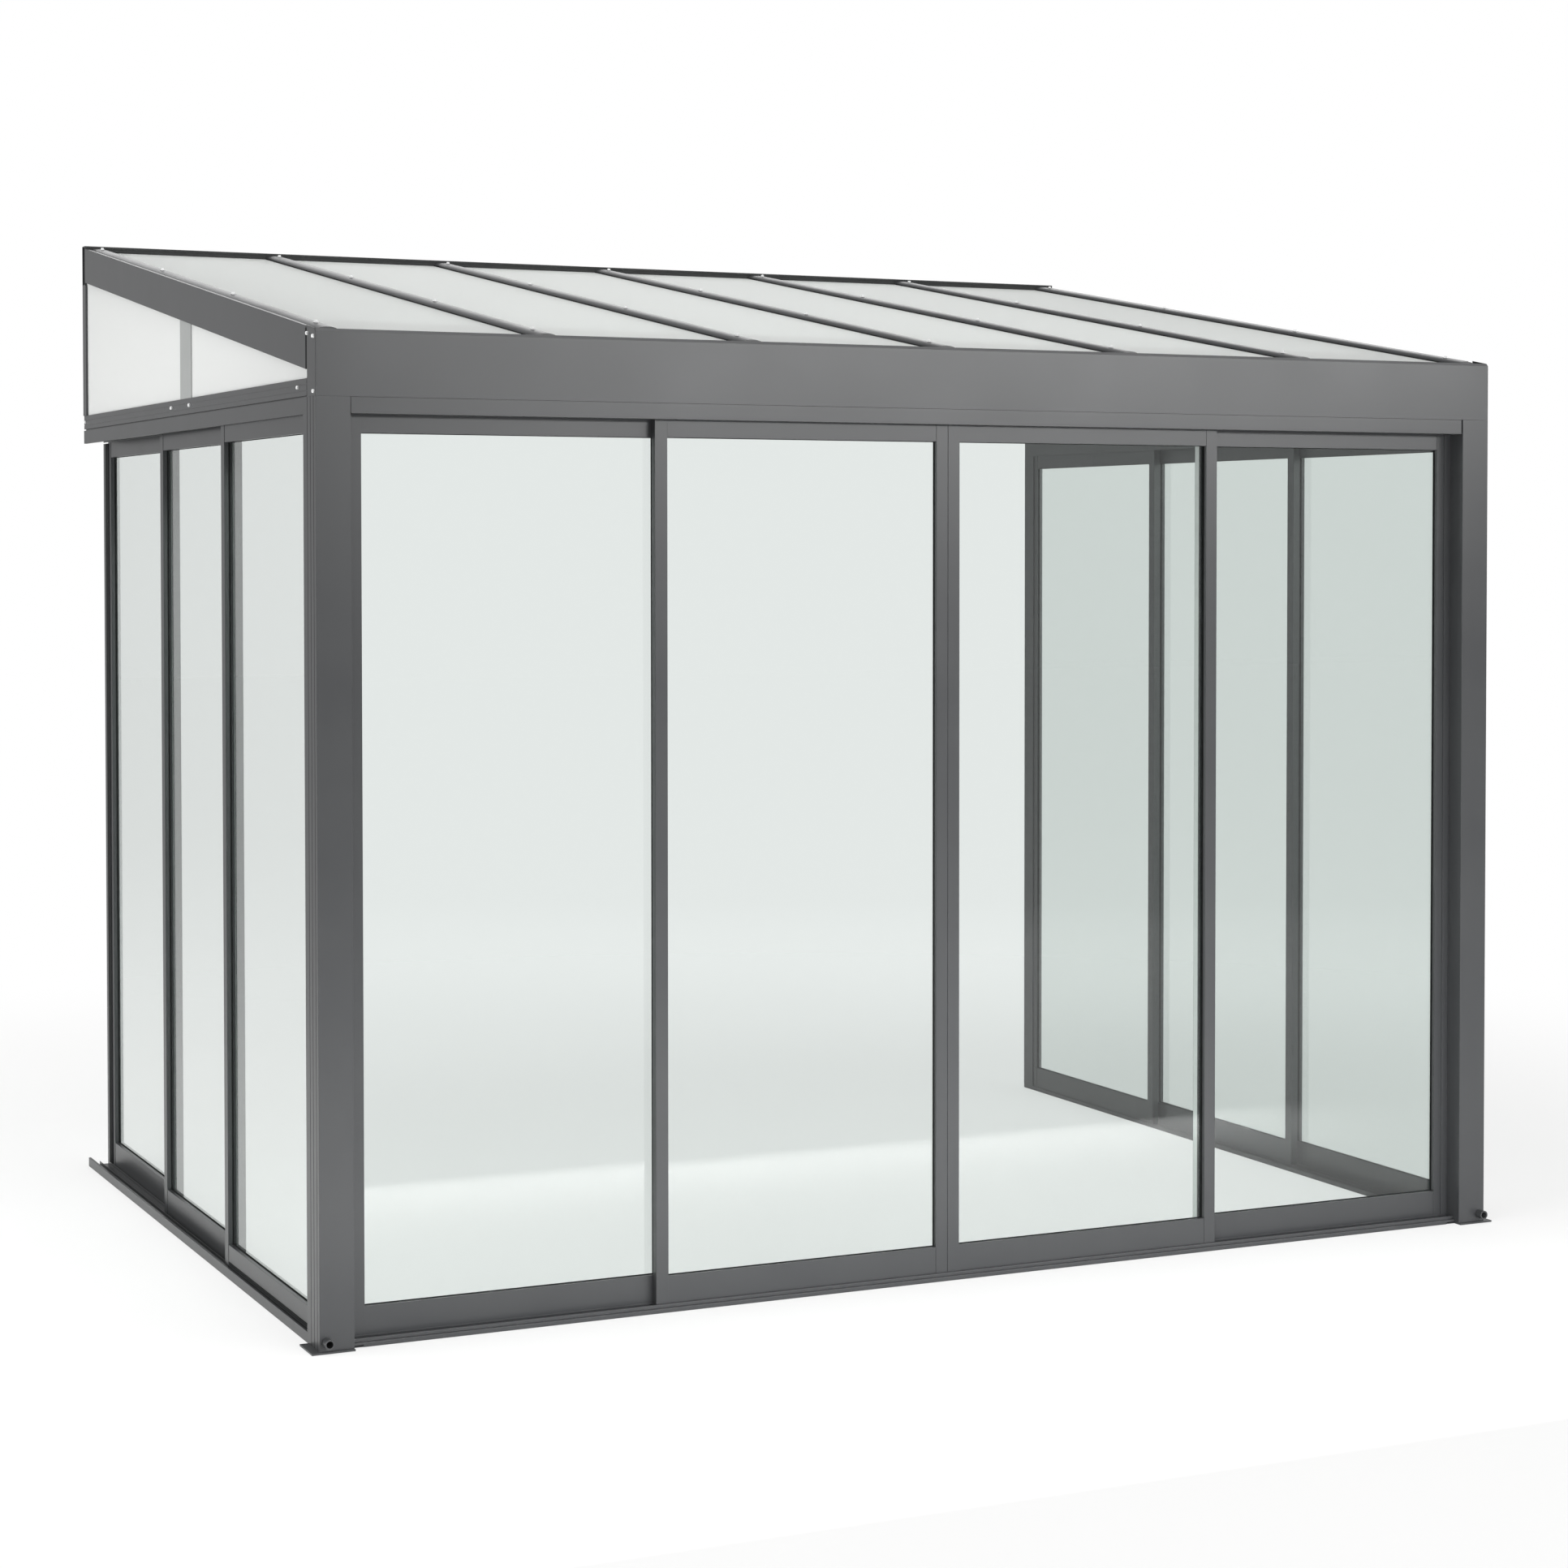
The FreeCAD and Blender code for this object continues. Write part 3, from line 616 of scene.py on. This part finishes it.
# a rubber strip down the outside of each wall jamb, along the edge that takes the door
def makeJambSeals():
    bm = bmesh.new()
    for side, out in sides.items():
        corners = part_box(side + "_wall_jamb")
        face = faceX(corners, out)
        start, low, high = corners[0][1], corners[0][2], corners[1][2]
        points = [Vector((face + out * proud / 1000, start + back / 1000, low))
                  for proud, back in jambSeal["section"]]
        pullOutline(bm, points, Vector((0, 0, high - low)))
    strips = finishPiece("jamb_seals", bm, "frame", "seal_rubber")
    roundEdges(strips, jambSeal["edge"])


paintedLightStrip = {
    "frontDoors": {"front_door_1": 1, "front_door_4": -1},     # which way along X the free edge faces
    "thick": 0.5,
    "sideDoors": ["middle", "rear"],
    "sideWidth": 16.0,
    "sideThick": 0.4,
    "inset": 1.5,
    "edge": 0.0002,
}


def addPaintedLightStrip(door, out, thick, near, far):
    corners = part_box(door + "_frame")
    low, high = corners[0][2], corners[1][2]
    points = [Vector((faceX(corners, out), y, z))
              for y, z in ((near, low), (far, low), (far, high), (near, high))]
    bm = bmesh.new()
    pullOutline(bm, points, Vector((out * thick / 1000, 0, 0)))
    strip = finishPiece(door + "_painted_light_strip", bm, door, "grey_plastic", paintedLightVinyl)
    roundEdges(strip, paintedLightStrip["edge"])


# a pale plastic strip down the free edge of each front door that runs behind another: its pale colour is
# painted light on an edge face that lies in shade
def makePaintedLightStrips():
    inset = paintedLightStrip["inset"] / 1000
    for door, out in paintedLightStrip["frontDoors"].items():
        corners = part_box(door + "_frame")
        addPaintedLightStrip(door, out, paintedLightStrip["thick"], corners[0][1] + inset, corners[1][1] - inset)
    # on the side doors it lies on the outer face, along the front edge, as painted light in the shaded gap
    # between the doors
    for side, out in sides.items():
        for place in paintedLightStrip["sideDoors"]:
            door = side + "_door_" + place
            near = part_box(door + "_frame")[0][1]
            addPaintedLightStrip(door, out, paintedLightStrip["sideThick"], near + inset, near + paintedLightStrip["sideWidth"] / 1000)


makeCapBars()
makeRoofPanels()
makeScrews()
makeSeals()
makeRailShadeStrips()
makeJambSeals()
makePaintedLightStrips()
print("cap bars, roof panels, screws, seals, shade_strips and strips made")

studio = {
    "ambient": 0.4,
    "mirrored": 0.15,        # how bright the white backdrop shows in gloss
    # the long front strip stands where the fascia mirrors it, and the low strips lift the foot of the
    # sides; an unseen lamp stays out of reflections
    "lamps": {
        "top_softbox": {"place": (-2.6, -1.5, 8.6), "aim": (-0.7, -0.4, 0.0), "size": (4.0, 4.0),
                        "watts": 225},
        "left_softbox": {"place": (-5.0, 0.2, 2.1), "aim": (-1.8, 0.2, 2.0), "size": (4.2, 3.0),
                         "watts": 100, "unseen": True},
        "top_strip": {"place": (3.2, -1.0, 8.6), "aim": (3.2, -1.0, 0.0), "size": (7.0, 1.6),
                      "watts": 75},
        "front_strip": {"place": (4.1, -9.4, 3.4), "aim": (0.2, -1.3, 2.5), "size": (7.0, 0.8),
                        "watts": 320},
        "back_softbox": {"place": (3.5, 8.0, 5.2), "aim": (0.0, 0.0, 3.0), "size": (9.0, 2.4),
                         "watts": 115},
        "front_low_strip": {"place": (0.0, -3.2, 0.35), "aim": (0.0, -1.3, 0.2), "size": (4.5, 0.4),
                            "watts": 78, "unseen": True},
        "left_low_strip": {"place": (-3.7, 0.0, 0.35), "aim": (-1.8, 0.0, 0.2), "size": (3.0, 0.4),
                           "watts": 7, "unseen": True},
    },
}


# 1 for rays that show the backdrop straight or through glass, and the mirrored share in a reflection
def seenRays(tree):
    path = addNode(tree, "ShaderNodeLightPath")
    gloss = addNode(tree, "ShaderNodeMath", {1: studio["mirrored"]}, {0: path.outputs["Is Glossy Ray"]},
                    operation="MULTIPLY")
    first = addNode(tree, "ShaderNodeMath", {}, {0: path.outputs["Is Camera Ray"], 1: gloss.outputs[0]},
                    operation="MAXIMUM")
    return addNode(tree, "ShaderNodeMath", {},
                   {0: first.outputs[0], 1: path.outputs["Is Transmission Ray"]}, operation="MAXIMUM")


floorPlan = {
    "half": 40.0,
    "colour": "#f8f8f7",
    "fadeStart": 2.5,
    "fadeEnd": 6.0,
    "nearWhite": 0.68,       # share of plain white close to the object, where the shadow shows
}


# pale floor that keeps the shadow and fades to plain white away from the object
def makeFloor():
    bm = bmesh.new()
    bmesh.ops.create_grid(bm, x_segments=1, y_segments=1, size=floorPlan["half"])
    mesh = bpy.data.meshes.new("studio_floor")
    bm.to_mesh(mesh)
    bm.free()
    floor = bpy.data.objects.new("studio_floor", mesh)
    bpy.context.scene.collection.objects.link(floor)
    material, tree, place = newMaterial("pale_studio_floor")
    paint = addNode(tree, "ShaderNodeBsdfDiffuse", {"Color": hexColour(floorPlan["colour"])})
    white = addNode(tree, "ShaderNodeEmission", {"Strength": 1.0})
    reach = addNode(tree, "ShaderNodeVectorMath", {}, {0: place}, operation="LENGTH")
    fade = addNode(tree, "ShaderNodeMapRange",
                   {"From Min": floorPlan["fadeStart"], "From Max": floorPlan["fadeEnd"],
                    "To Min": floorPlan["nearWhite"]},
                   {"Value": reach.outputs["Value"]}, interpolation_type="SMOOTHSTEP")
    seen = seenRays(tree)
    share = addNode(tree, "ShaderNodeMath", {}, {0: fade.outputs[0], 1: seen.outputs[0]},
                    operation="MULTIPLY")
    mixed = addNode(tree, "ShaderNodeMixShader", {},
                    {0: share.outputs[0], 1: paint.outputs[0], 2: white.outputs[0]})
    showShader(tree, mixed)
    mesh.materials.append(material)


def makeLight():
    world = bpy.data.worlds.new("white_studio")
    bpy.context.scene.world = world
    world.use_nodes = True
    tree = world.node_tree
    tree.nodes.clear()
    seen = seenRays(tree)
    level = addNode(tree, "ShaderNodeMapRange", {"To Min": studio["ambient"], "To Max": 1.0},
                    {"Value": seen.outputs[0]})
    sky = addNode(tree, "ShaderNodeBackground", {"Color": (1, 1, 1, 1)}, {"Strength": level.outputs[0]})
    addNode(tree, "ShaderNodeOutputWorld", {}, {"Surface": sky.outputs[0]})
    for name, lamp in studio["lamps"].items():
        light = bpy.data.lights.new(name, "AREA")
        light.shape = "RECTANGLE"
        light.size, light.size_y = lamp["size"]
        light.energy = lamp["watts"]
        obj = bpy.data.objects.new(name, light)
        obj.visible_camera = False
        obj.visible_glossy = not lamp.get("unseen")
        obj.visible_transmission = False
        way = Vector(lamp["aim"]) - Vector(lamp["place"])
        turn = way.to_track_quat("-Z", "Y").to_matrix().to_4x4()
        obj.matrix_world = Matrix.Translation(lamp["place"]) @ turn
        bpy.context.scene.collection.objects.link(obj)


lens = {
    "place": (-4.1036, -9.2076, 2.0692),
    "yaw": 25.766,
    "pitch": -1.564,
    "focalPx": 3904.95,
    "centrePx": (1051.5, 779.3),
    "imagePx": 1932,
    "sensorMm": 36,
    "farthest": 200,
}


def makeCamera():
    data = bpy.data.cameras.new("photo_camera")
    data.sensor_width = lens["sensorMm"]
    data.lens = lens["focalPx"] / lens["imagePx"] * data.sensor_width
    data.shift_x = 0.5 - lens["centrePx"][0] / lens["imagePx"]
    data.shift_y = lens["centrePx"][1] / lens["imagePx"] - 0.5
    data.clip_end = lens["farthest"]
    camera = bpy.data.objects.new("photo_camera", data)
    camera.location = lens["place"]
    camera.rotation_euler = (math.radians(90 + lens["pitch"]), 0, -math.radians(lens["yaw"]))
    bpy.context.scene.collection.objects.link(camera)
    bpy.context.scene.camera = camera


makeFloor()
makeLight()
makeCamera()
bpy.context.scene.view_settings.view_transform = "Standard"
print("floor, light and camera set")
